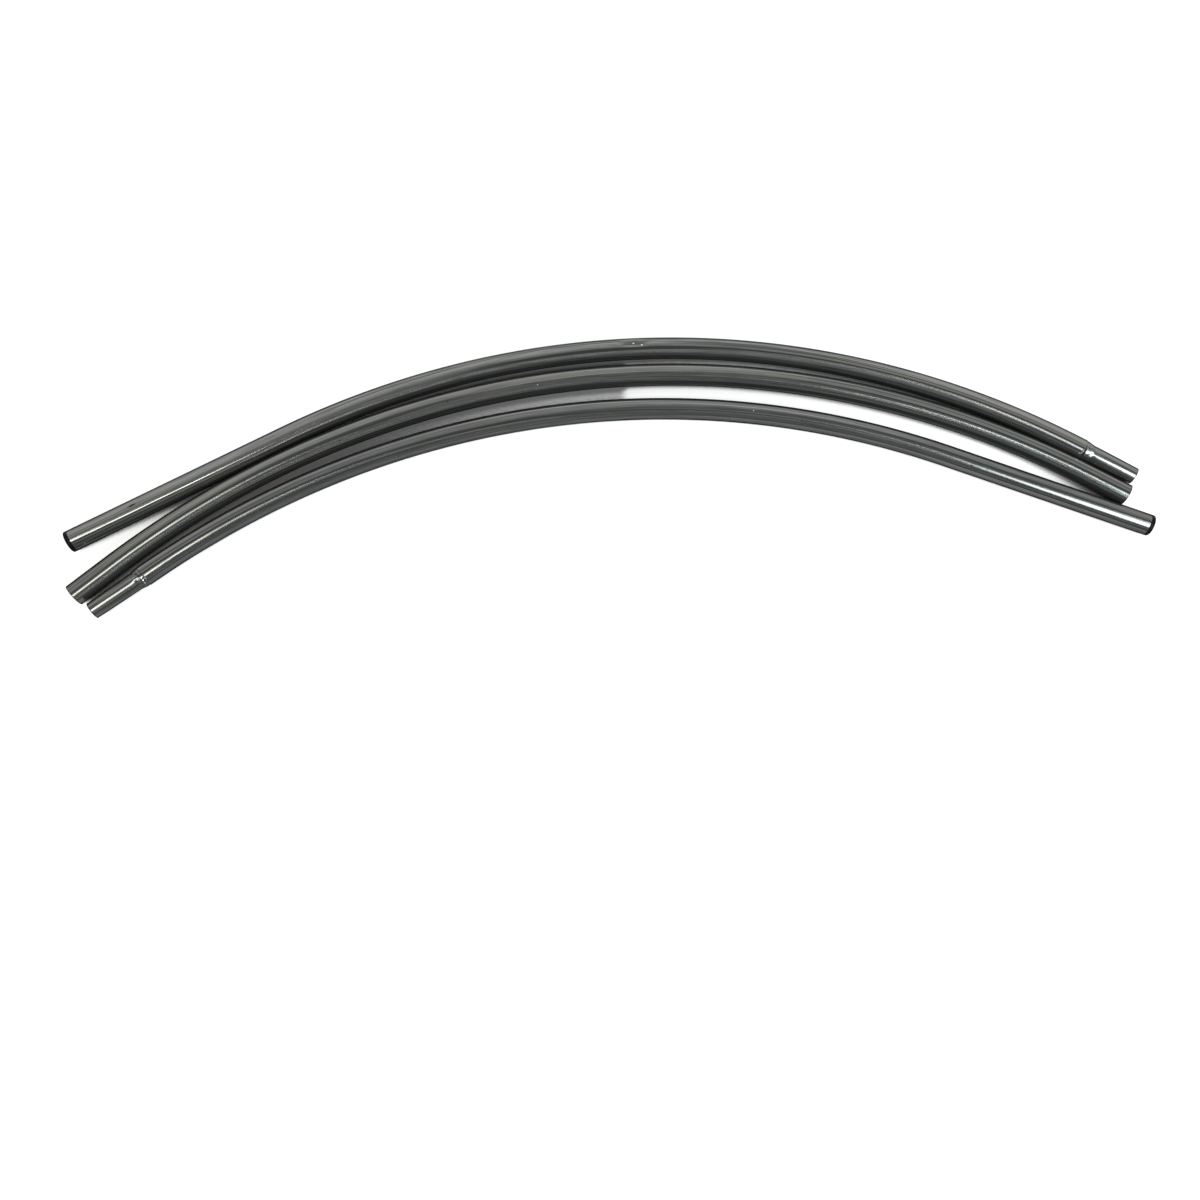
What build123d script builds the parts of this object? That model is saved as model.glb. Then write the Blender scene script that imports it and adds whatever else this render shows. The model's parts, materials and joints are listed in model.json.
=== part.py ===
from build123d import *
from math import atan2, cos, degrees, radians, sin
import os

# A knock-down hoop pole of bent steel tube in three sections: a crown tube open at both
# ends, and two leg tubes, each with a swaged spigot at one end and a plastic cap at the
# other. Pushed together they turn through a half hoop. Here they lie side by side on a
# flat surface, as for packing. +X runs along the crown's chord, +Y towards the outside of
# the bends and +Z up. All sizes are in millimetres and degrees.

# Tube stock
tube_od = 22.0
tube_wall = 1.5
crown_od = 22.7
crown_wall = 1.5

# Hoop
hoop_turn = 180.0
leg_turn = 56.0
leg_bend_radius = 859.0
crown_bend_radius = 881.0
crown_socket_length = 45.0
far_leg_length = 228.0
near_leg_length = 213.0

# Swaged spigot, which slips into the crown's socket and wedges on its root
shoulder_lead = 12.0
shoulder_length = 9.0
shoulder_round = 3.0
spigot_length = 49.0
spigot_root_clearance = 0.35
spigot_taper = 0.8
spigot_wall = 1.5
rim_chamfer = 0.4

# Flats pressed by the swaging jaws round the shoulder
crimp_count = 8
crimp_length = 8.0
crimp_width = 8.0
crimp_depth = 0.5

# End cap: a flanged plug with saw-tooth rings that grip the tube
cap_thickness = 4.5
cap_edge_round = 1.3
plug_length = 16.0
plug_wall = 1.8
plug_neck = 1.5
plug_ring_count = 3
plug_ring_pitch = 4.0
plug_ring_ramp = 3.2
plug_ring_height = 0.6
plug_clearance = 0.1
plug_lead_in = 0.8

# Lie of the three sections
lay_gap = 0.3
far_leg_angle = 22.1
near_leg_angle = 25.2
far_leg_lead = 3.9
near_leg_lead = 19.7
slide_steps = 40

# Sizes that follow from the fits
crown_turn = hoop_turn - 2 * leg_turn
crown_bore = crown_od - 2 * crown_wall
tube_bore = tube_od - 2 * tube_wall
spigot_root_radius = crown_bore / 2 - spigot_root_clearance
spigot_tip_radius = spigot_root_radius - spigot_taper
plug_ring_radius = tube_bore / 2 - plug_clearance
plug_core_radius = plug_ring_radius - plug_ring_height
plug_cup_radius = plug_core_radius - plug_wall


def bent_line(first, radius, turn, last):
    """The centre line of a bent tube: a straight run, a bend to the right, a straight run."""
    with BuildLine() as centre:
        start = Line((0, 0), (first, 0))
        bend = JernArc(start=start @ 1, tangent=start % 1, radius=radius, arc_size=-turn)
        if last > 0:
            Line(bend @ 1, bend @ 1 + (bend % 1) * last)
    return centre.line


def cross_plane(line, position):
    """The plane across a centre line, at a position from 0 at its start to 1 at its end."""
    return Plane(origin=line @ position, z_dir=line % position)


# Centre line of the crown tube, which sits astride the Y axis
crown_half_span = crown_bend_radius * sin(radians(crown_turn / 2))
crown_half_span += crown_socket_length * cos(radians(crown_turn / 2))
crown_heading = Vector(1, 0, 0).rotate(Axis.Z, crown_turn / 2)
crown_plane = Plane(origin=(-crown_half_span, 0, crown_od / 2), x_dir=crown_heading, z_dir=(0, 0, 1))
crown_line = bent_line(crown_socket_length, crown_bend_radius, crown_turn, crown_socket_length)
crown_line = crown_line.moved(crown_plane.location)


def leg_plane(length, cap_x, heading, up, side):
    """The plane of a leg, slid along Y until its tube is lay_gap away from the crown tube.

    side is 1 for a leg outside the crown's bend, and -1 for one inside it."""
    body = bent_line(length, leg_bend_radius, leg_turn, shoulder_lead + shoulder_length)
    with BuildLine() as spigot:
        Line(body @ 1, body @ 1 + (body % 1) * spigot_length)
    y = side * crown_bend_radius / 2
    for step in range(slide_steps):
        plane = Plane(origin=(cap_x, y, tube_od / 2), x_dir=heading, z_dir=up)
        body_gap = body.moved(plane.location).distance_to(crown_line) - tube_od / 2
        spigot_gap = spigot.line.moved(plane.location).distance_to(crown_line) - spigot_root_radius
        y -= side * (min(body_gap, spigot_gap) - crown_od / 2 - lay_gap)
    return plane


far_heading = Vector(1, 0, 0).rotate(Axis.Z, far_leg_angle)
far_cap_x = -crown_half_span - far_leg_lead + cap_thickness * far_heading.X
far_plane = leg_plane(far_leg_length, far_cap_x, far_heading, (0, 0, 1), 1)

near_heading = Vector(-1, 0, 0).rotate(Axis.Z, -near_leg_angle)
near_cap_x = crown_half_span + near_leg_lead + cap_thickness * near_heading.X
near_plane = leg_plane(near_leg_length, near_cap_x, near_heading, (0, 0, -1), -1)


def bent_tube(line):
    """A round tube along a centre line, in the leg's stock."""
    with BuildSketch(cross_plane(line, 0)) as ring:
        Circle(tube_od / 2)
        Circle(tube_bore / 2, mode=Mode.SUBTRACT)
    sweep(ring.sketch, path=line)


def swaged_spigot(plane):
    """The shoulder and the tapered spigot, turned about the plane's X axis."""
    shoulder_end = shoulder_lead + shoulder_length
    spigot_end = shoulder_end + spigot_length
    with BuildSketch(plane) as wall:
        with BuildLine():
            outside = FilletPolyline(
                (0, tube_od / 2),
                (shoulder_lead, tube_od / 2),
                (shoulder_end, spigot_root_radius),
                (spigot_end, spigot_tip_radius),
                radius=shoulder_round,
            )
            inside = FilletPolyline(
                (0, tube_bore / 2),
                (shoulder_lead, tube_bore / 2),
                (shoulder_end, spigot_root_radius - spigot_wall),
                (spigot_end, spigot_tip_radius - spigot_wall),
                radius=shoulder_round,
            )
            Line(outside @ 0, inside @ 0)
            Line(outside @ 1, inside @ 1)
        make_face()
        chamfer(wall.vertices().group_by(Axis.X)[-1], length=rim_chamfer)
    revolve(wall.sketch, axis=Axis(plane.origin, plane.x_dir))

    shoulder_middle = Plane(
        origin=plane.from_local_coords((shoulder_lead + shoulder_length / 2, 0, 0)),
        x_dir=plane.y_dir,
        z_dir=plane.x_dir,
    )
    flat_radius = (tube_od / 2 + spigot_root_radius) / 2 - crimp_depth
    slope = degrees(atan2(tube_od / 2 - spigot_root_radius, shoulder_length))
    cutter_thickness = tube_wall
    with Locations(shoulder_middle):
        with PolarLocations(flat_radius, crimp_count):
            Box(
                cutter_thickness,
                crimp_width,
                crimp_length,
                rotation=(0, -slope, 0),
                align=(Align.MIN, Align.CENTER, Align.CENTER),
                mode=Mode.SUBTRACT,
            )


def end_plug(plane):
    """The cap's rounded head and its ringed, hollow plug, turned about the plane's X axis."""
    outline = [(0, 0), (-cap_thickness, 0), (-cap_thickness, tube_od / 2), (0, tube_od / 2)]
    outline += [(0, plug_core_radius)]
    for ring in range(plug_ring_count):
        ring_start = plug_neck + ring * plug_ring_pitch
        outline += [(ring_start, plug_core_radius)]
        outline += [(ring_start, plug_ring_radius)]
        outline += [(ring_start + plug_ring_ramp, plug_core_radius)]
    outline += [(plug_length - plug_lead_in, plug_core_radius)]
    outline += [(plug_length, plug_core_radius - plug_lead_in)]
    outline += [(plug_length, plug_cup_radius), (0, plug_cup_radius)]
    with BuildSketch(plane) as half:
        with BuildLine():
            Polyline(*outline, close=True)
        make_face()
        head_corner = half.vertices().group_by(Axis.X)[0].sort_by(Axis.Y)[-1]
        fillet(head_corner, radius=cap_edge_round)
    revolve(half.sketch, axis=Axis(plane.origin, plane.x_dir))


far_line = bent_line(far_leg_length, leg_bend_radius, leg_turn, 0).moved(far_plane.location)
far_spigot_plane = Plane(origin=far_line @ 1, x_dir=far_line % 1, z_dir=far_plane.z_dir)
near_line = bent_line(near_leg_length, leg_bend_radius, leg_turn, 0).moved(near_plane.location)
near_spigot_plane = Plane(origin=near_line @ 1, x_dir=near_line % 1, z_dir=near_plane.z_dir)

with BuildPart() as far_leg_tube:
    bent_tube(far_line)
    swaged_spigot(far_spigot_plane)

with BuildPart() as far_leg_cap:
    end_plug(far_plane)

with BuildPart() as crown_tube:
    with BuildSketch(cross_plane(crown_line, 0)):
        Circle(crown_od / 2)
        Circle(crown_bore / 2, mode=Mode.SUBTRACT)
    sweep(path=crown_line)
    chamfer(crown_tube.faces().filter_by(GeomType.PLANE).edges(), length=rim_chamfer)

with BuildPart() as near_leg_tube:
    bent_tube(near_line)
    swaged_spigot(near_spigot_plane)

with BuildPart() as near_leg_cap:
    end_plug(near_plane)

# The origin is under the middle of the whole lay-out, on the surface that it lies on
pieces = {
    "far_leg_tube": far_leg_tube,
    "far_leg_cap": far_leg_cap,
    "crown_tube": crown_tube,
    "near_leg_tube": near_leg_tube,
    "near_leg_cap": near_leg_cap,
}
layout = Compound([piece.part for piece in pieces.values()]).bounding_box()
to_origin = Location((-layout.center().X, -layout.center().Y, 0))

os.makedirs("parts", exist_ok=True)
for name, piece in pieces.items():
    placed = piece.part.moved(to_origin)
    placed.label = name
    export_step(placed, f"parts/{name}.step")

print("Hoop turn", hoop_turn, "degrees, laid out", layout.size)
print("Far foot", far_plane.from_local_coords((-cap_thickness, 0, 0)) + to_origin.position)
print("Near foot", near_plane.from_local_coords((-cap_thickness, 0, 0)) + to_origin.position)
print("Crown's left end", crown_plane.origin + to_origin.position)
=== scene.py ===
# %% [markdown]
# # A knock-down hoop pole in bent steel tube
# The pole is three lengths of zinc-plated tube. Each of the two legs has a black plug at
# one end and a swaged spigot at the other, and the crown between them is open at both
# ends. They lie side by side on a pale floor. The CAD frame fixes where everything is.
# This lesson rebuilds the tubes as fine meshes, so that the steel reflects smoothly, and
# gives each surface its finish.

# %% Load the frame
import json
import math
import random
import bmesh
import bpy
from mathutils import Matrix, Vector


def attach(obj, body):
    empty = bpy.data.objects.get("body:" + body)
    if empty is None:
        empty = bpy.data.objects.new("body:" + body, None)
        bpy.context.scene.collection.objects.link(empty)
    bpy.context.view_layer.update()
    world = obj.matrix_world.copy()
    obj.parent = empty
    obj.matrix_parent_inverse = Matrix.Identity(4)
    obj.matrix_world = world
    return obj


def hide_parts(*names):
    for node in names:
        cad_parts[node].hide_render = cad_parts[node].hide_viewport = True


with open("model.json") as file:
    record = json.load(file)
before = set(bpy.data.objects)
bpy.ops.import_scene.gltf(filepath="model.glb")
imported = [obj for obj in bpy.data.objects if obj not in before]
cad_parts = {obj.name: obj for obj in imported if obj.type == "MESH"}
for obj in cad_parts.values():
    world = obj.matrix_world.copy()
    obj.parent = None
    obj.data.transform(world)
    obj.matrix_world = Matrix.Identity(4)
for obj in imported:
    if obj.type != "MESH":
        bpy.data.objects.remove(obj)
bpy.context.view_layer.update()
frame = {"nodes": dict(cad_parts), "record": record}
MM = 0.001
print("nodes", sorted(frame["nodes"]))


# %% [markdown]
# ## The sizes of the tubes
# A bent tube is a straight run, a bend of one radius, and a second straight run. The tube
# stock, the bend and the swaged end are the same sizes as in the CAD model, so they are
# named here once. Where each tube starts, and which way it points, comes from the mounts
# in the frame's record: the feet of the two legs and the crown's left socket, whose mount
# lies half way down the socket.

# %% Sizes
TUBE_RADIUS = 11.0 * MM
CROWN_RADIUS = 11.35 * MM
TUBE_WALL = 1.5 * MM
LEG_BEND = 859 * MM
CROWN_BEND = 881 * MM
LEG_TURN = math.radians(56)
CROWN_TURN = math.radians(68)
FAR_LENGTH = 228 * MM
NEAR_LENGTH = 213 * MM
SOCKET_LENGTH = 45 * MM
SHOULDER_LEAD = 12 * MM
SHOULDER_LENGTH = 9 * MM
SPIGOT_LENGTH = 49 * MM
SPIGOT_ROOT_RADIUS = 9.5 * MM
SPIGOT_TIP_RADIUS = 8.7 * MM
CAP_THICKNESS = 4.5 * MM


def start_of_tube(mount_name, inward):
    """The start of a tube's centre line and its heading, a distance inward of a mount."""
    mount = next(m for m in frame["record"]["mounts"] if m["name"] == mount_name)
    axis = Vector(mount["axis"])
    start = Vector(mount["pos_m"]) - axis * inward
    heading = math.atan2(-axis.y, -axis.x)
    print(mount_name, [round(v / MM, 2) for v in start], round(math.degrees(heading), 2))
    return start, heading


FAR_START, FAR_HEADING = start_of_tube("far_foot", CAP_THICKNESS)
NEAR_START, NEAR_HEADING = start_of_tube("near_foot", CAP_THICKNESS)
CROWN_START, CROWN_HEADING = start_of_tube("left_socket", -SOCKET_LENGTH / 2)


# %% [markdown]
# ## Directions in the plane of the bends
# All three tubes lie flat, so one angle from +X gives a tube's heading, and a bend goes to
# its left or to its right. The centre of a bend is straight across from where the first
# run ends. Three small functions say this, so that no later cell has to.

# %% Directions
LEFT = 1
RIGHT = -1


def heading_vector(heading):
    """The level direction at an angle from +X."""
    return Vector((math.cos(heading), math.sin(heading), 0))


def left_of(direction):
    """The level direction a quarter turn to the left of another one."""
    return Vector((-direction.y, direction.x, 0))


def bend_centre(start, heading, side, first_run, radius):
    """The centre of the bend that follows a tube's first straight run."""
    along = heading_vector(heading)
    return start + along * first_run + left_of(along) * side * radius


print("near leg's bend centre", [
    round(v, 3) for v in bend_centre(NEAR_START, NEAR_HEADING, LEFT, NEAR_LENGTH, LEG_BEND)])


# %% [markdown]
# ## Modelling by extrude and spin
# A tube bender pushes straight stock round a former. The same thing is done here: a ring
# of points is extruded along the first straight run, spun round the centre of the bend,
# and extruded again. Everything is deselected first, because the frame's own nodes arrive
# selected, and an operator would act on them as well.

# %% Helpers for edit mode
RING_POINTS = 128
HOLD_LENGTH = 0.8 * MM


def start_ring(name, radius, place, heading):
    """A ring of points across the tube, ready in edit mode with all of it selected."""
    bpy.ops.object.select_all(action="DESELECT")
    bpy.ops.mesh.primitive_circle_add(
        vertices=RING_POINTS, radius=radius, location=place, rotation=(0, math.pi / 2, heading))
    tube = bpy.context.active_object
    tube.name = name
    bpy.ops.object.mode_set(mode="EDIT")
    bpy.ops.mesh.select_all(action="SELECT")
    return tube


def push(direction, distance, steps):
    """Extrudes the selected ring along a straight run in equal steps."""
    for step in range(steps):
        bpy.ops.mesh.extrude_region_move(
            TRANSFORM_OT_translate={"value": direction * (distance / steps)})


def push_with_hold(direction, distance, steps, at_start):
    """A straight run with one short step at its open end, which keeps the rim's rounding local."""
    if at_start:
        push(direction, HOLD_LENGTH, 1)
    push(direction, distance - HOLD_LENGTH, steps)
    if not at_start:
        push(direction, HOLD_LENGTH, 1)


def bend(place, heading, side, radius, turn, steps):
    """Spins the selected ring round the bend's centre, and gives its new place and heading.

    Spin counts an angle clockwise, seen from the tip of its axis, so the sign is turned.
    """
    centre = bend_centre(place, heading, side, 0, radius)
    bpy.ops.mesh.spin(steps=steps, angle=-turn * side, center=centre, axis=(0, 0, 1))
    turned = Matrix.Rotation(turn * side, 3, "Z")
    return centre + turned @ (place - centre), heading + turn * side


print("ring points", RING_POINTS)


# %% [markdown]
# ## From a skin to a tube
# What the ring leaves behind is a single skin with no thickness. Solidify grows the wall
# inwards from it, so the outside keeps its size. A cut tube is never quite sharp at its
# rims, and Bevel rounds them, because it finds them by their angle.

# %% Wall and rims
MERGE_DISTANCE = 0.01 * MM
RIM_ROUND = 0.3 * MM
RIM_ANGLE = math.radians(50)
SMOOTH_ANGLE = math.radians(40)


def close_shell(tube):
    """Leaves edit mode, turns the faces outwards, and gives the shell its wall and its rims."""
    bpy.ops.mesh.select_all(action="SELECT")
    bpy.ops.mesh.remove_doubles(threshold=MERGE_DISTANCE)
    bpy.ops.mesh.normals_make_consistent(inside=False)
    bpy.ops.object.mode_set(mode="OBJECT")
    bpy.ops.object.transform_apply(location=True, rotation=True, scale=True)
    thickness = tube.modifiers.new("wall", "SOLIDIFY")
    thickness.thickness = TUBE_WALL
    thickness.offset = -1
    thickness.use_even_offset = True
    bpy.ops.object.modifier_apply(modifier="wall")
    rounding = tube.modifiers.new("rims", "BEVEL")
    rounding.width = RIM_ROUND
    rounding.segments = 2
    rounding.limit_method = "ANGLE"
    rounding.angle_limit = RIM_ANGLE
    bpy.ops.object.modifier_apply(modifier="rims")
    bpy.ops.object.shade_smooth_by_angle(angle=SMOOTH_ANGLE)
    print(tube.name, len(tube.data.polygons), "faces")


print("wall", round(TUBE_WALL / MM, 2), "mm")


# %% [markdown]
# ## The crown tube
# The crown is plain tube with no working at its ends, so it is one ring, one push, one
# bend and one push. One bend step every half degree keeps the highlight on the outside
# of the bend free of kinks.

# %% Crown tube
SOCKET_STEPS = 6
STEPS_PER_DEGREE = 2


def model_crown():
    """The crown tube, finished."""
    tube = start_ring("crown", CROWN_RADIUS, CROWN_START, CROWN_HEADING)
    along = heading_vector(CROWN_HEADING)
    push_with_hold(along, SOCKET_LENGTH, SOCKET_STEPS, at_start=True)
    place = CROWN_START + along * SOCKET_LENGTH
    steps = round(math.degrees(CROWN_TURN) * STEPS_PER_DEGREE)
    place, heading = bend(place, CROWN_HEADING, RIGHT, CROWN_BEND, CROWN_TURN, steps)
    push_with_hold(heading_vector(heading), SOCKET_LENGTH, SOCKET_STEPS, at_start=False)
    close_shell(tube)
    return tube


crown = model_crown()


# %% [markdown]
# ## The swaged end of a leg
# A leg starts like the crown. After the bend its end is pushed into a tapered die, and the
# ring of points follows a profile of distances and radii: it is extruded and then scaled
# at every step. Where the die takes hold, it raises a small bead and cuts a groove in
# front of it. From there the metal flows down in a long hollow curve, and then the spigot
# tapers evenly to its tip.

# %% Profile of the swaged end
NECK_START = -2.4 * MM
NECK_STEP = 0.3 * MM
BEAD_PLACE = -1.3 * MM
BEAD_WIDTH = 0.7 * MM
BEAD_HEIGHT = 0.12 * MM
GROOVE_WIDTH = 0.9 * MM
GROOVE_DEPTH = 0.5 * MM
HOLLOW_POWER = 1.15
SPIGOT_STEPS = 20


def neck_radius(distance):
    """The radius of the neck at a distance past the start of the shoulder."""
    bead = BEAD_HEIGHT * math.exp(-((distance - BEAD_PLACE) / BEAD_WIDTH) ** 2)
    groove = GROOVE_DEPTH * math.exp(-(distance / GROOVE_WIDTH) ** 2)
    share = min(1, max(0, distance / SHOULDER_LENGTH))
    hollow = (TUBE_RADIUS - SPIGOT_ROOT_RADIUS) * (1 - (1 - share) ** HOLLOW_POWER)
    return TUBE_RADIUS + bead - groove - hollow


def swage_profile():
    """Distances and radii of the neck in fine steps, and of the spigot in long ones."""
    steps = round((SHOULDER_LENGTH - NECK_START) / NECK_STEP)
    distances = [NECK_START + NECK_STEP * step for step in range(1, steps + 1)]
    pairs = [(distance, neck_radius(distance)) for distance in distances]
    shares = [step / SPIGOT_STEPS for step in range(1, SPIGOT_STEPS)]
    shares += [1 - HOLD_LENGTH / SPIGOT_LENGTH, 1]
    for share in shares:
        radius = SPIGOT_ROOT_RADIUS + (SPIGOT_TIP_RADIUS - SPIGOT_ROOT_RADIUS) * share
        pairs.append((SHOULDER_LENGTH + SPIGOT_LENGTH * share, radius))
    return pairs


def swage(place, direction, profile):
    """Extrudes the ring through the profile, and scales it about its own centre each time."""
    travelled, radius = NECK_START, TUBE_RADIUS
    for distance, new_radius in profile:
        bpy.ops.mesh.extrude_region_move(
            TRANSFORM_OT_translate={"value": direction * (distance - travelled)})
        centre = place + direction * distance
        bpy.ops.transform.resize(value=(new_radius / radius,) * 3, center_override=centre)
        travelled, radius = distance, new_radius


print("neck radii", [round(neck_radius(d * MM) / MM, 2) for d in (-2, -1, 0, 1, 3, 6, 9)])


# %% [markdown]
# ## Pressing a dent
# A dent is made as by hand: the points along a short line are pushed inwards, and
# proportional editing takes their neighbours along. It is done while the tube is still a
# single skin, so that the wall that comes later follows the dent inside as well.

# %% Helpers for dents
CORE_SHARE = 0.35


def press(tube, centre, axis, half_length, depth, reach, inward):
    """Pushes a dent into the skin along a short line, or raises it if depth is negative."""
    skin = bmesh.from_edit_mesh(tube.data)
    to_skin = tube.matrix_world.inverted()
    low = to_skin @ (centre - axis * half_length)
    span = to_skin @ (centre + axis * half_length) - low
    for vertex in skin.verts:
        share = max(0, min(1, (vertex.co - low).dot(span) / span.length_squared))
        vertex.select = (vertex.co - low - span * share).length < reach * CORE_SHARE
    skin.select_flush_mode()
    bmesh.update_edit_mesh(tube.data)
    bpy.ops.transform.translate(
        value=inward * depth, use_proportional_edit=True,
        proportional_edit_falloff="SMOOTH", proportional_size=reach)


def outward(direction, angle):
    """The direction out of a tube, at an angle from its left side (0) over its top (90 degrees)."""
    return left_of(direction) * math.cos(angle) + Vector((0, 0, math.sin(angle)))


print("the core of a dent is", CORE_SHARE, "of its reach")


# %% [markdown]
# ## The crimped shoulder
# The jaws that close the tube strike it on eight sides, and never with quite the same
# force. Where the metal has nowhere to go, it wrinkles. So the strikes are a loop round
# the shoulder, and the wrinkles are short dents and ridges near one of the strikes, drawn
# from a seeded random source, so that every run gives the same ones.

# %% Strikes and wrinkles
STRIKE_COUNT = 8
STRIKE_PLACE = SHOULDER_LENGTH * 0.6
STRIKE_DEPTH = 0.16 * MM
STRIKE_FORCES = (0.7, 1.1)
STRIKE_REACH = 3.2 * MM
STRIKE_HALF_LENGTH = 2.8 * MM
WRINKLE_PLACES_IN_MM = (0.5, 8)
WRINKLE_HALF_LENGTHS_IN_MM = (0.5, 1.6)
WRINKLE_DEPTH = 0.22 * MM
WRINKLE_REACH = 1.3 * MM
WRINKLE_SPREAD = math.radians(60)


def crimp(tube, place, direction, strike_angle, wrinkles, seed):
    """Eight strikes round the shoulder, one of them at the given angle, and wrinkles beside it."""
    chance = random.Random(seed)
    for strike in range(STRIKE_COUNT):
        out = outward(direction, strike_angle + 2 * math.pi * strike / STRIKE_COUNT)
        middle = place + direction * STRIKE_PLACE
        depth = STRIKE_DEPTH * chance.uniform(*STRIKE_FORCES)
        press(tube, middle + out * neck_radius(STRIKE_PLACE), direction,
              STRIKE_HALF_LENGTH, depth, STRIKE_REACH, -out)
    for wrinkle in range(wrinkles):
        angle = strike_angle + chance.uniform(-1, 1) * WRINKLE_SPREAD
        out = outward(direction, angle)
        distance = chance.uniform(*WRINKLE_PLACES_IN_MM) * MM
        slant = chance.uniform(0, math.pi)
        axis = direction * math.cos(slant) + direction.cross(out) * math.sin(slant)
        depth = WRINKLE_DEPTH * chance.choice((-1, 1, 1))
        half_length = chance.uniform(*WRINKLE_HALF_LENGTHS_IN_MM) * MM
        press(tube, place + direction * distance + out * neck_radius(distance), axis,
              half_length, depth, WRINKLE_REACH, -out)


print(STRIKE_COUNT, "strikes on each shoulder")


# %% [markdown]
# ## A leg as a single skin
# The legs are alike but for the length of their straight run and the side they bend to, so
# one function makes both. It stops before the wall is grown, because the dents come first.

# %% Leg
STRAIGHT_STEPS = 24
LEAD_STEPS = 14


def model_leg(name, start, heading, side, length, steps_per_degree):
    """A leg in edit mode, as a single skin, with the place and direction of its shoulder."""
    tube = start_ring(name, TUBE_RADIUS, start, heading)
    push_with_hold(heading_vector(heading), length, STRAIGHT_STEPS, at_start=True)
    place = start + heading_vector(heading) * length
    steps = round(math.degrees(LEG_TURN) * steps_per_degree)
    place, heading = bend(place, heading, side, LEG_BEND, LEG_TURN, steps)
    direction = heading_vector(heading)
    push(direction, SHOULDER_LEAD + NECK_START, LEAD_STEPS)
    place = place + direction * SHOULDER_LEAD
    swage(place, direction, swage_profile())
    return tube, place, direction


print("swage steps", len(swage_profile()))


# %% [markdown]
# ## The far leg and its dent
# Years of use have left one shallow dent on the outside of this leg's bend. A dent needs
# points close together, so this bend has steps twice as fine. The dent is one long press
# at its own distance along the stock, a little to the outside of the tube's top.

# %% Far leg
FINE_STEPS_PER_DEGREE = 4
DENT_DISTANCE = 598 * MM
DENT_ANGLE = math.radians(74)
DENT_HALF_LENGTH = 9 * MM
DENT_DEPTH = 0.55 * MM
DENT_REACH = 5 * MM

far_leg, place, direction = model_leg(
    "far_leg", FAR_START, FAR_HEADING, RIGHT, FAR_LENGTH, FINE_STEPS_PER_DEGREE)
crimp(far_leg, place, direction, strike_angle=math.radians(118), wrinkles=10, seed=3)
dent_heading = FAR_HEADING + RIGHT * (DENT_DISTANCE - FAR_LENGTH) / LEG_BEND
direction = heading_vector(dent_heading)
centre = bend_centre(FAR_START, FAR_HEADING, RIGHT, FAR_LENGTH, LEG_BEND)
place = centre - left_of(direction) * RIGHT * LEG_BEND
dent_out = outward(direction, DENT_ANGLE)
press(far_leg, place + dent_out * TUBE_RADIUS, direction, DENT_HALF_LENGTH,
      DENT_DEPTH, DENT_REACH, -dent_out)
close_shell(far_leg)


# %% [markdown]
# ## The near leg
# This leg is turned end for end and bends the other way. Its shoulder took the harder
# blows, so it has more than twice as many wrinkles.

# %% Near leg
near_leg, place, direction = model_leg(
    "near_leg", NEAR_START, NEAR_HEADING, LEFT, NEAR_LENGTH, STEPS_PER_DEGREE)
crimp(near_leg, place, direction, strike_angle=math.radians(62), wrinkles=22, seed=5)
close_shell(near_leg)


# %% [markdown]
# ## A coordinate that follows the tube
# The steel was drawn straight before it was bent, so its scratches run along the tube and
# bend with it. Each point of a tube gets an attribute that says where it was before the
# bending: its distance along the stock, its place towards the inside of the bend, and its
# height over the centre line. Patterns read that attribute instead of Object coordinates.

# %% Straightened coordinates


def straighten(tube, start, heading, side, first_run, radius, turn):
    """Stores the unbent place of every point, in metres, as the attribute 'drawn'."""
    along = heading_vector(heading)
    across = left_of(along) * side
    centre = bend_centre(start, heading, side, first_run, radius)
    values = []
    for vertex in tube.data.vertices:
        from_centre = vertex.co - centre
        swept = math.atan2(from_centre.dot(along), -from_centre.dot(across))
        if swept <= 0:
            distance = (vertex.co - start).dot(along)
            sideways = (vertex.co - start).dot(across)
        else:
            end_turn = min(swept, turn)
            end_along = along * math.cos(end_turn) + across * math.sin(end_turn)
            end_across = across * math.cos(end_turn) - along * math.sin(end_turn)
            distance = first_run + radius * end_turn + from_centre.dot(end_along)
            sideways = from_centre.dot(end_across) + radius
        values += [distance, sideways, vertex.co.z - start.z]
    attribute = tube.data.attributes.new("drawn", "FLOAT_VECTOR", "POINT")
    attribute.data.foreach_set("vector", values)
    print(tube.name, "straightened length", round(max(values[0::3]) / MM, 1), "mm")


straighten(crown, CROWN_START, CROWN_HEADING, RIGHT, SOCKET_LENGTH, CROWN_BEND, CROWN_TURN)
straighten(far_leg, FAR_START, FAR_HEADING, RIGHT, FAR_LENGTH, LEG_BEND, LEG_TURN)
straighten(near_leg, NEAR_START, NEAR_HEADING, LEFT, NEAR_LENGTH, LEG_BEND, LEG_TURN)


# %% [markdown]
# ## Material helpers
# Colours are written as the usual hex values and turned to linear light by one function.
# One more function adds a shader node with its settings and its links.

# %% Helpers for materials


def linear(hex_colour):
    """An sRGB hex colour as linear red, green, blue and alpha."""
    channels = [int(hex_colour[i:i + 2], 16) / 255 for i in (1, 3, 5)]
    values = [c / 12.92 if c <= 0.04045 else ((c + 0.055) / 1.055) ** 2.4 for c in channels]
    return (*values, 1.0)


def add(tree, kind, inputs=None, **settings):
    """Adds a node, sets its properties, and fills its inputs with values or links."""
    node = tree.nodes.new(kind)
    for key, value in settings.items():
        setattr(node, key, value)
    for key, value in (inputs or {}).items():
        if isinstance(value, bpy.types.NodeSocket):
            tree.links.new(value, node.inputs[key])
        else:
            node.inputs[key].default_value = value
    return node


def new_material(name):
    """An empty material and its node tree."""
    material = bpy.data.materials.new(name)
    material.use_nodes = True
    material.node_tree.nodes.clear()
    return material, material.node_tree


print("mid grey in linear light", round(linear("#808080")[0], 3))


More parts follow.
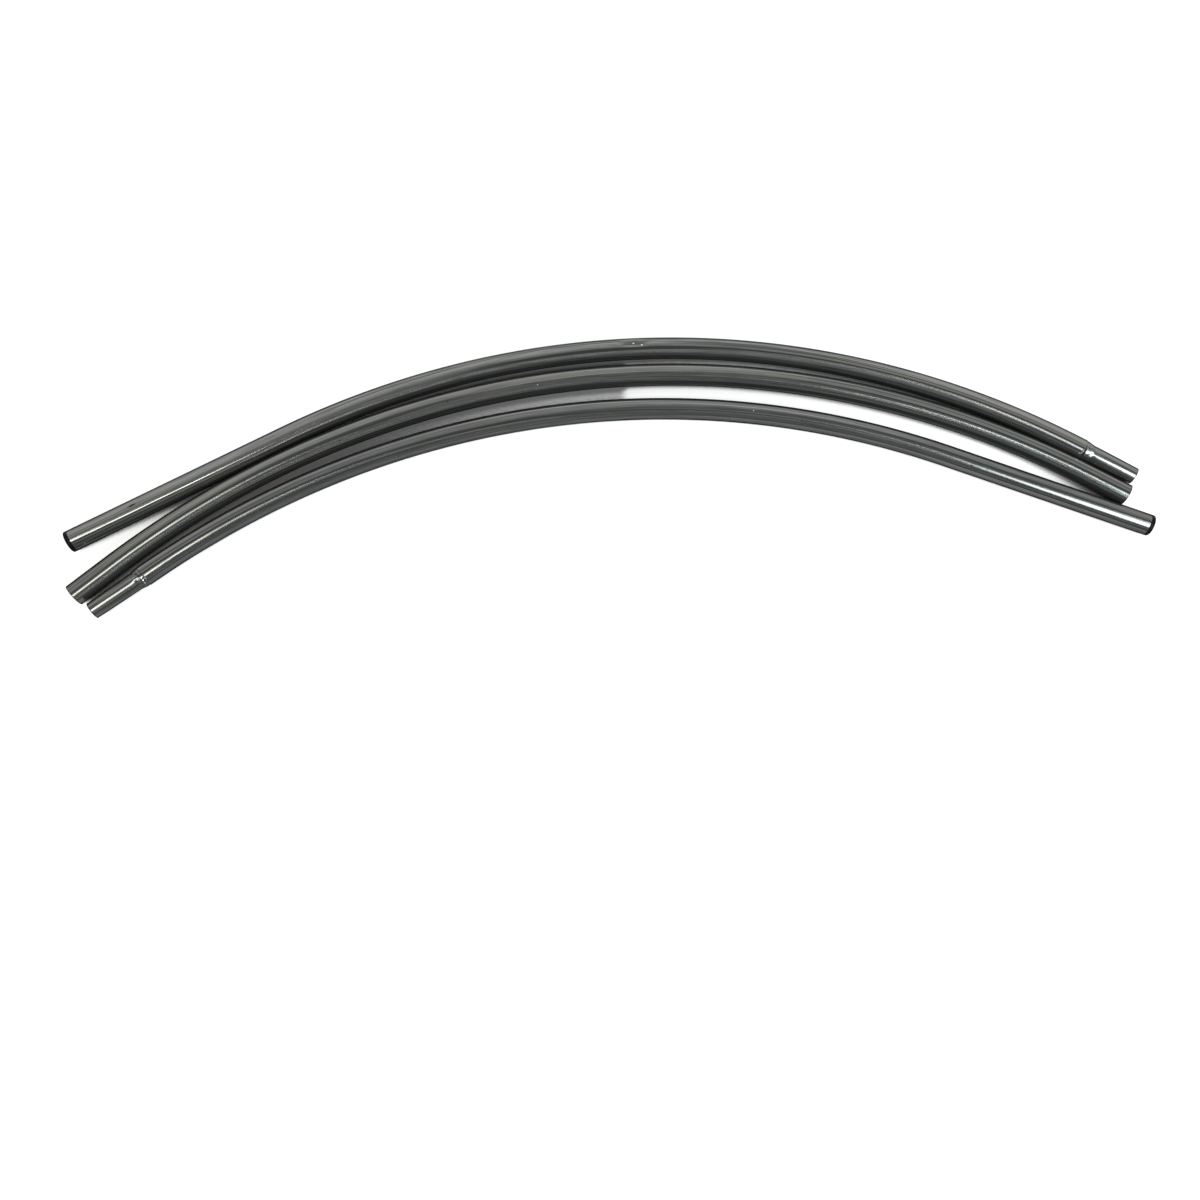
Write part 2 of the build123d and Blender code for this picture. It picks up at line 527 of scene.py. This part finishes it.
# %% [markdown]
# ## Patterns along the stock
# Every trace on drawn steel is long and narrow, so each pattern is noise that is
# stretched along the tube, given by the length and the width of its features. A soft
# threshold turns noise into patches, and two colours are then mixed by it.

# %% Patterns and blends
GROOVE_LENGTH = 420 * MM


def drawn_pattern(tree, place, length, pitch, detail=0.0):
    """Noise that is stretched along the tube: its features are as long and as wide as given."""
    stretch = (1 / length, 1 / pitch, 1 / pitch)
    space = add(tree, "ShaderNodeVectorMath", {0: place, 1: stretch}, operation="MULTIPLY")
    noise = add(tree, "ShaderNodeTexNoise", {"Vector": space.outputs[0], "Scale": 1.0, "Detail": detail})
    return noise.outputs["Fac"]


def between(tree, value, low, high):
    """Turns a value into 0 up to low, 1 from high on, and a smooth rise in between."""
    ramp = add(tree, "ShaderNodeMapRange", {
        "Value": value, "From Min": low, "From Max": high}, interpolation_type="SMOOTHSTEP")
    return ramp.outputs["Result"]


def blend(tree, factor, first, second):
    """A colour between two, each given as a hex value or as a link.

    A Mix node keeps its two colours in sockets 6 and 7, and their mix in output 2.
    """
    mix = add(tree, "ShaderNodeMix", {"Factor": factor}, data_type="RGBA")
    for socket, colour in ((6, first), (7, second)):
        if isinstance(colour, str):
            mix.inputs[socket].default_value = linear(colour)
        else:
            tree.links.new(colour, mix.inputs[socket])
    return mix.outputs[2]


print("features along the tube are", round(GROOVE_LENGTH / MM), "mm long")


# %% [markdown]
# ## Marks at their places
# Scuffs, painted shade and painted glints sit at certain places, so noise can't make
# them. Each mark is a small soft ellipsoid in the straightened coordinates. It is written
# as its centre, its length and its width, all in millimetres, and its strength. A very
# wide, short one round the centre line darkens a whole rim: that is painted shade.

# %% Marks


def marks_mask(tree, place, marks):
    """The strength of the marks at each place: of two that meet, the stronger one counts."""
    mask = None
    for centre, length, width, strength in marks:
        centre = tuple(v * MM for v in centre)
        size = (2 / (length * MM), 2 / (width * MM), 2 / (width * MM))
        offset = add(tree, "ShaderNodeVectorMath", {0: place, 1: centre}, operation="SUBTRACT")
        scaled = add(tree, "ShaderNodeVectorMath", {0: offset.outputs[0], 1: size}, operation="MULTIPLY")
        radius = add(tree, "ShaderNodeVectorMath", {0: scaled.outputs[0]}, operation="LENGTH")
        fade = add(tree, "ShaderNodeMapRange", {
            "Value": radius.outputs["Value"], "From Min": 1.0, "From Max": 0.5, "To Max": strength})
        inside = fade.outputs["Result"]
        if mask is not None:
            both = add(tree, "ShaderNodeMath", {0: mask, 1: inside}, operation="MAXIMUM")
            inside = both.outputs[0]
        mask = inside
    return mask


print("a mark fades out over the outer half of its size")


# %% [markdown]
# ## The colour of zinc-plated drawn steel
# The tube is cold-drawn steel with a thin zinc coat that has dulled to a dark grey, a
# little stained along its length. Soot sits in some of the grooves that drawing left, and
# a little drawing oil has dried brown in others. Scuffs have gone through to dark metal.
# The dark of the cut rims, of the groove at the far leg's neck and of its dent is painted
# shade, and the bright spots are painted glints.

# %% Colour of the steel
STAIN_LENGTH = 30 * MM
STAIN_PITCH = 2.0 * MM
STAIN_DETAIL = 3.0
SOOT_PITCH = 1.7 * MM
OIL_PITCH = 1.3 * MM
STAINED = (0.3, 0.6)
SOOTY = (0.53, 0.65)
OILY = (0.64, 0.72)
SOOT = "#4E514F"
DRIED_OIL = "#85827B"
# Dark scuffs, and painted shade on rims, in a groove and in a dent
SCUFF_AND_PAINTED_SHADE = "#202221"
# Painted glints: bright spots in place of the sparkle of light in small dents
PAINTED_GLINT = "#E4E8E6"


def steel_colour(tree, place, moved, dark, light, scuffs_and_painted_shade, painted_glints):
    """The base colour: stained zinc, then soot and oil lines, then scuffs and painted shade, then painted
    glints.
    """
    stain_noise = drawn_pattern(tree, moved, STAIN_LENGTH, STAIN_PITCH, STAIN_DETAIL)
    colour = blend(tree, between(tree, stain_noise, *STAINED), dark, light)
    soot_noise = drawn_pattern(tree, moved, GROOVE_LENGTH, SOOT_PITCH)
    colour = blend(tree, between(tree, soot_noise, *SOOTY), colour, SOOT)
    oil_noise = drawn_pattern(tree, moved, GROOVE_LENGTH, OIL_PITCH)
    colour = blend(tree, between(tree, oil_noise, *OILY), colour, DRIED_OIL)
    # Dark marks are scuffs and painted shade; bright marks are painted glints.
    colour = blend(tree, marks_mask(tree, place, scuffs_and_painted_shade), colour, SCUFF_AND_PAINTED_SHADE)
    return blend(tree, marks_mask(tree, place, painted_glints), colour, PAINTED_GLINT)


print("soot every", round(SOOT_PITCH / MM, 1), "mm, oil every", round(OIL_PITCH / MM, 1), "mm")


# %% [markdown]
# ## The relief of the steel
# Drawing leaves wide shallow bands and fine grooves along the tube, which split a
# highlight into thin parallel lines. The zinc coat itself is made of small crystals. All
# of this is far too shallow for a mesh, so it is three bumps, each laid on the one before.

# %% Relief of the steel
BAND_PITCH = 2.6 * MM
GROOVE_PITCH = 1.1 * MM
FINE_GROOVE_DEPTH = 0.02 * MM
CRYSTAL_SIZE = 0.8 * MM
CRYSTAL_HEIGHT = 0.06 * MM


def steel_relief(tree, place, moved, band_depth, coarse_stretch):
    """The normal of the surface. Its crystals rise along the given stretch of the stock."""
    bands = drawn_pattern(tree, moved, GROOVE_LENGTH, BAND_PITCH)
    grooves = drawn_pattern(tree, moved, GROOVE_LENGTH, GROOVE_PITCH)
    along = add(tree, "ShaderNodeSeparateXYZ", {0: place}).outputs["X"]
    coarse = between(tree, along, *coarse_stretch)
    crystals = add(tree, "ShaderNodeTexNoise", {"Vector": moved, "Scale": 1 / CRYSTAL_SIZE, "Detail": 1.0})
    crystal_height = add(tree, "ShaderNodeMath", {
        0: crystals.outputs["Fac"], 1: coarse}, operation="MULTIPLY")
    wave = add(tree, "ShaderNodeBump", {"Height": bands, "Strength": 1.0, "Distance": band_depth})
    line = add(tree, "ShaderNodeBump", {
        "Height": grooves, "Strength": 1.0, "Distance": FINE_GROOVE_DEPTH,
        "Normal": wave.outputs["Normal"]})
    grain = add(tree, "ShaderNodeBump", {
        "Height": crystal_height.outputs[0], "Strength": 1.0, "Distance": CRYSTAL_HEIGHT,
        "Normal": line.outputs["Normal"]})
    return grain.outputs["Normal"]


print("groove pitch", round(GROOVE_PITCH / MM, 2), "mm")


# %% [markdown]
# ## Zinc-plated steel
# The coat is metal, but a dull one with some oxide in it, so it is a little less than
# fully metallic, and its highlight is soft. A dark tint at grazing angles keeps the
# outline of the tube dark, as it is on metal that lies in a room and not in a white tent.
# The shift moves the patterns along, so that no two tubes have the same grooves.

# %% Zinc-plated steel
GRAZING_TINT = "#1A1B1A"


def zinc_steel(name, shift, dark, light, band_depth, coarse_stretch, scuffs_and_painted_shade, painted_glints):
    """The steel of one tube, with two zinc tones, its scuffs, and painted shade and glints at given
    places.
    """
    material, tree = new_material(name)
    place = add(tree, "ShaderNodeAttribute", attribute_name="drawn").outputs["Vector"]
    moved = add(tree, "ShaderNodeVectorMath", {0: place, 1: (shift, shift, shift)}).outputs[0]
    colour = steel_colour(tree, place, moved, dark, light, scuffs_and_painted_shade, painted_glints)
    normal = steel_relief(tree, place, moved, band_depth, coarse_stretch)
    shader = add(tree, "ShaderNodeBsdfPrincipled", {
        "Base Color": colour, "Metallic": 0.88, "Roughness": 0.15, "Normal": normal})
    shader.inputs["Specular Tint"].default_value = linear(GRAZING_TINT)
    add(tree, "ShaderNodeOutputMaterial", {"Surface": shader.outputs[0]})
    return material


print("grazing tint", GRAZING_TINT)


# %% [markdown]
# ## One steel for each tube
# The three tubes come from different coils. The near leg's zinc is the darkest. Towards
# one end of the crown the crystals are coarse, so its highlight breaks up there. The legs
# have no coarse stretch: theirs is put past the end of the stock. The dark marks that are
# given at the centre line darken the rims of the open ends with painted shade. The bright
# marks are painted glints.

# %% Steel of the three tubes
PAST_THE_END = (2.0, 3.0)
CROWN_COARSE = (0.60, 0.85)

# Far leg: the dark ring at 1079.6 mm paints shade into the neck's groove, the long mark at 598 mm paints
# shade into the dent, and the one at 1137.6 mm onto the open rim; the other dark marks are scuffs. Its
# bright marks are painted glints.
far_steel = zinc_steel(
    "zinc_plated_far_leg", shift=0.0, dark="#6A6C6A", light="#7C7E7B",
    band_depth=0.18 * MM, coarse_stretch=PAST_THE_END,
    scuffs_and_painted_shade=[((67.1, -1.6, 10.9), 11, 2.4, 1), ((630, 10.6, 2.5), 7, 1.6, 1),
            ((617.9, 7.3, 8.2), 1.8, 1.8, 1), ((598, -3.5, 10.4), 38, 6.5, 0.6),
            ((1079.6, 5.4, 9.6), 2.8, 12, 1), ((1137.6, 0, 0), 2.6, 40, 1)],
    painted_glints=[((10.5, 9.9, 4.8), 1.8, 1.8, 1), ((597, -2.1, 10.8), 3.4, 1.9, 1),
             ((605.6, 0, 11.0), 3.0, 1.8, 1), ((603, -4.4, 10.1), 1.8, 1.4, 0.8),
             ((1075.8, 8.2, 7.2), 2.0, 2.0, 1), ((1076.4, 10.9, 1.1), 2.0, 2.0, 0.8),
             ((1077.4, 7.2, 8.3), 1.6, 4.0, 0.6)])
# Crown: the two dark marks at the centre line paint shade onto the open rims; the other dark marks are
# scuffs. Its bright marks are painted glints.
crown_steel = zinc_steel(
    "zinc_plated_crown", shift=2.3, dark="#606260", light="#6E706D",
    band_depth=0.16 * MM, coarse_stretch=CROWN_COARSE,
    scuffs_and_painted_shade=[((415, 2.0, 11.2), 3.0, 1.2, 1), ((300, 6.0, 9.6), 5.0, 1.2, 0.8),
            ((0, 0, 0), 2.6, 42, 1), ((1135.6, 0, 0), 2.6, 42, 1)],
    painted_glints=[((1072.8, -6.1, 9.6), 1.6, 1.6, 1), ((508, 4.0, 10.6), 1.6, 1.2, 1)])
# Near leg: the dark mark at the centre line paints shade onto the open rim; the other is a scuff. Its
# bright marks are painted glints.
near_steel = zinc_steel(
    "zinc_plated_near_leg", shift=5.1, dark="#5B5D5C", light="#696B6A",
    band_depth=0.22 * MM, coarse_stretch=PAST_THE_END,
    scuffs_and_painted_shade=[((190, 5.0, 9.8), 4.0, 1.2, 1), ((1122.6, 0, 0), 2.6, 40, 1)],
    painted_glints=[((420, 1.0, 11.0), 1.6, 1.2, 1), ((1068.6, 3.6, 10.0), 5.0, 3.6, 1),
             ((1064.6, 3.6, 10.3), 3.8, 2.4, 1), ((1065.6, 6.7, 8.6), 1.8, 3.0, 0.8),
             ((1065.9, 9.0, 6.2), 1.6, 3.0, 0.8), ((1072.6, 6.0, 8.9), 4.6, 1.6, 0.8),
             ((1090, 7.6, 7.4), 8.0, 1.6, 0.5)])
for tube, steel in ((far_leg, far_steel), (crown, crown_steel), (near_leg, near_steel)):
    tube.data.materials.clear()
    tube.data.materials.append(steel)
    print(steel.name, len(steel.node_tree.nodes), "nodes")


# %% [markdown]
# ## Black polyethylene caps
# The caps are injection moulded in soft black plastic. Their shape in the CAD model is
# right, so it is kept, and only the material is new. They are matte with a fine spark
# texture, so that they stay black even where they face a pale floor.

# %% Cap plastic
SPARK_SIZE = 0.4 * MM
SPARK_DEPTH = 0.1 * MM


def cap_plastic():
    """Black plastic whose gloss and relief follow the same fine grain."""
    material, tree = new_material("moulded_black_polyethylene")
    place = add(tree, "ShaderNodeTexCoord").outputs["Object"]
    grain = add(tree, "ShaderNodeTexNoise", {"Vector": place, "Scale": 1 / SPARK_SIZE, "Detail": 2.0})
    bump = add(tree, "ShaderNodeBump", {
        "Height": grain.outputs["Fac"], "Strength": 0.2, "Distance": SPARK_DEPTH})
    roughness = add(tree, "ShaderNodeMapRange", {
        "Value": grain.outputs["Fac"], "From Min": 0.3, "From Max": 0.7, "To Min": 0.45, "To Max": 0.6})
    shader = add(tree, "ShaderNodeBsdfPrincipled", {
        "Base Color": linear("#050505"), "Roughness": roughness.outputs["Result"],
        "Normal": bump.outputs["Normal"]})
    shader.inputs["Specular IOR Level"].default_value = 0.1
    add(tree, "ShaderNodeOutputMaterial", {"Surface": shader.outputs[0]})
    return material


plastic = cap_plastic()
for name in ("far_leg_cap", "near_leg_cap"):
    cap = frame["nodes"][name]
    cap.data.materials.clear()
    cap.data.materials.append(plastic)
    print(plastic.name, "on", name)


# %% [markdown]
# ## What each piece stands for
# Each modelled tube hides the CAD tube that it stands for, and moves with the one body
# of the frame. The caps are the frame's own nodes, so they need nothing.

# %% Ride and replace
for piece, node in ((crown, "crown_tube"), (far_leg, "far_leg_tube"), (near_leg, "near_leg_tube")):
    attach(piece, "root")
    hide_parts(node)
    print(piece.name, "stands for", node)


# %% [markdown]
# ## The floor
# The floor is one large plain face, which isn't part of the pole.

# %% Floor
FLOOR_HALF = 6.0

bpy.ops.object.select_all(action="DESELECT")
bpy.ops.mesh.primitive_plane_add(size=2 * FLOOR_HALF, location=(0, 0, 0))
floor = bpy.context.active_object
floor.name = "floor"
print("floor", FLOOR_HALF * 2, "m square")


# %% [markdown]
# ## Where the floor is closed in
# The floor is painted dark in the narrow slots between the tubes, as painted shade, and is
# white in the open. Ambient occlusion tells them apart: it gives the share of the sky that a
# point sees past the tubes near it. In the picture the wider gap behind the near leg is dark
# as well, but only left of the middle, so there a point counts as more closed in than it
# is, and gets painted shade too.

# %% Open and closed floor
SLOT_REACH = 60 * MM
OCCLUSION_SAMPLES = 16
CLOSED_BELOW = 0.24
OPEN_ABOVE = 0.36
DULL_START = -410 * MM
DULL_END = 14 * MM
DULL_FADE = 15 * MM
DULL_LOSS = 0.2

floor_material, floor_tree = new_material("matt_pale_floor")
floor_place = add(floor_tree, "ShaderNodeTexCoord").outputs["Object"]
floor_x = add(floor_tree, "ShaderNodeSeparateXYZ", {0: floor_place}).outputs["X"]
near_centre = bend_centre(NEAR_START, NEAR_HEADING, LEFT, NEAR_LENGTH, LEG_BEND)
from_centre = add(floor_tree, "ShaderNodeVectorMath", {
    0: floor_place, 1: near_centre}, operation="DISTANCE").outputs["Value"]
dull_from = between(floor_tree, floor_x, DULL_START - DULL_FADE, DULL_START)
dull_to = between(floor_tree, floor_x, DULL_END + DULL_FADE, DULL_END)
behind_leg = between(floor_tree, from_centre, LEG_BEND - TUBE_RADIUS, LEG_BEND)
dull_part = add(floor_tree, "ShaderNodeMath", {0: dull_from, 1: dull_to}, operation="MULTIPLY")
dull = add(floor_tree, "ShaderNodeMath", {0: dull_part.outputs[0], 1: behind_leg}, operation="MULTIPLY")
sky_share = add(floor_tree, "ShaderNodeAmbientOcclusion", {
    "Distance": SLOT_REACH}, samples=OCCLUSION_SAMPLES).outputs["AO"]
openness = add(floor_tree, "ShaderNodeMath", {
    0: dull.outputs[0], 1: -DULL_LOSS, 2: sky_share}, operation="MULTIPLY_ADD")
open_floor = between(floor_tree, openness.outputs[0], CLOSED_BELOW, OPEN_ABOVE)
print("the floor glows in full where it sees more than", OPEN_ABOVE, "of the sky near it")


# %% [markdown]
# ## The glow of the floor
# Lamps bright enough to make a pale floor white would burn out the steel. So the floor is
# pale grey, and a glow lifts it to white, which only the eye and glass see in full. The
# steel mirrors about a third of it, because the tubes in the picture mirror a darker
# ground. The glow gives no light, so the pole still casts its shadow.

# %% Floor material
FLOOR_GLOW = 0.74
MIRRORED_SHARE = 0.35
# Painted shade: in the slots the floor's colour falls from the pale tone to this darker one.
SLOT_SHADE_TONE = "#7C7C7C"
FLOOR_TONE = "#A8A8A8"

rays = add(floor_tree, "ShaderNodeLightPath")
mirrored = add(floor_tree, "ShaderNodeMath", {
    0: rays.outputs["Is Glossy Ray"], 1: MIRRORED_SHARE}, operation="MULTIPLY")
seen = add(floor_tree, "ShaderNodeMath", {
    0: rays.outputs["Is Camera Ray"], 1: mirrored.outputs[0]}, operation="MAXIMUM")
seen_all = add(floor_tree, "ShaderNodeMath", {
    0: seen.outputs[0], 1: rays.outputs["Is Transmission Ray"]}, operation="MAXIMUM")
glow = add(floor_tree, "ShaderNodeMath", {
    0: seen_all.outputs[0], 1: FLOOR_GLOW}, operation="MULTIPLY")
# Where the floor is closed in it loses its glow: painted shade in the slots.
open_glow = add(floor_tree, "ShaderNodeMath", {0: glow.outputs[0], 1: open_floor}, operation="MULTIPLY")
floor_shader = add(floor_tree, "ShaderNodeBsdfPrincipled", {
    "Base Color": blend(floor_tree, open_floor, SLOT_SHADE_TONE, FLOOR_TONE), "Roughness": 0.9,
    "Emission Color": (1, 1, 1, 1), "Emission Strength": open_glow.outputs[0]})
floor_shader.inputs["Specular IOR Level"].default_value = 0.1
add(floor_tree, "ShaderNodeOutputMaterial", {"Surface": floor_shader.outputs[0]})
floor.data.materials.append(floor_material)
print(floor_material.name, len(floor_tree.nodes), "nodes")


# %% [markdown]
# ## Soft boxes
# A steel tube is a mirror bent round, so each soft box over it becomes a thin bright line
# along it. The left one is narrow and warm. The right one reaches far forward, so its
# line is wide, and a small one behind it widens the line on the near leg's capped end.
# Each is given by two corners over the floor and by its radiance, so that a larger one
# isn't a dimmer one.

# %% Lamps
LAMP_HEIGHT = 1.6
WARM_WHITE = "#FFFAF4"
COOL_WHITE = "#F2F9FF"


def soft_box(name, low, high, colour, radiance):
    """A flat lamp that looks down, with its corners and its brightness as given."""
    width, length = high[0] - low[0], high[1] - low[1]
    data = bpy.data.lights.new(name, "AREA")
    data.shape = "RECTANGLE"
    data.size = width
    data.size_y = length
    data.color = linear(colour)[:3]
    data.energy = radiance * math.pi * width * length
    lamp = bpy.data.objects.new(name, data)
    lamp.location = ((low[0] + high[0]) / 2, (low[1] + high[1]) / 2, LAMP_HEIGHT)
    bpy.context.scene.collection.objects.link(lamp)
    print(name, "power", round(data.energy, 1), "W")


soft_box("left_lamp", low=(-1.15, -0.86), high=(-0.29, -0.50), colour=WARM_WHITE, radiance=10)
soft_box("right_lamp", low=(0.45, -2.20), high=(1.35, -0.60), colour=COOL_WHITE, radiance=11)
soft_box("end_lamp", low=(0.85, -0.60), high=(1.35, -0.42), colour=COOL_WHITE, radiance=11)


# %% [markdown]
# ## The room
# The room is bright behind the pole and dim in front of it: that gives the light upper
# band and the dark lower half of every tube. An image of a room could do it, but one
# colour ramp over the direction from front to back is enough, and it stays plain. A new
# ramp already has two stops, so only the others are added.

# %% Room
ROOM_TONES = (
    (0.0, 0.30), (0.1, 0.38), (0.3, 0.33), (0.47, 0.37), (0.56, 0.52), (0.66, 0.90), (0.80, 1.25),
    (0.92, 1.4), (1.0, 1.3))
STOPS_OF_A_NEW_RAMP = 2

world = bpy.data.worlds.new("studio")
bpy.context.scene.world = world
world.use_nodes = True
world.node_tree.nodes.clear()
world_tree = world.node_tree
towards = add(world_tree, "ShaderNodeSeparateXYZ", {
    0: add(world_tree, "ShaderNodeTexCoord").outputs["Generated"]})
depth = add(world_tree, "ShaderNodeMapRange", {
    "Value": towards.outputs["Y"], "From Min": -1.0, "From Max": 1.0})
brightness = add(world_tree, "ShaderNodeValToRGB", {0: depth.outputs["Result"]})
stops = brightness.color_ramp.elements
for index, (position, tone) in enumerate(ROOM_TONES):
    stop = stops[index] if index < STOPS_OF_A_NEW_RAMP else stops.new(position)
    stop.position = position
    stop.color = (tone, tone, tone, 1)
background = add(world_tree, "ShaderNodeBackground", {
    "Color": brightness.outputs["Color"], "Strength": 1.0})
add(world_tree, "ShaderNodeOutputWorld", {"Surface": background.outputs[0]})
print("room tones", len(stops))


# %% [markdown]
# ## The camera
# The camera looks down from in front, almost plumb, and its frame is square, as in the
# picture. The place and the turn are those at which the three tubes fall on their own
# outlines there.

# %% Camera
CAMERA_PLACE = Vector((-0.0910, -0.3388, 1.1331))
CAMERA_TURN = tuple(math.radians(v) for v in (10.264, -2.155, -6.074))

camera_data = bpy.data.cameras.new("camera")
camera_data.sensor_width = 36
camera_data.lens = 34.5
camera = bpy.data.objects.new("camera", camera_data)
camera.location = CAMERA_PLACE
camera.rotation_euler = CAMERA_TURN
bpy.context.scene.collection.objects.link(camera)
bpy.context.scene.camera = camera
bpy.context.scene.view_settings.view_transform = "Standard"
print("camera", [round(v, 4) for v in camera.location], "lens", camera_data.lens, "mm")
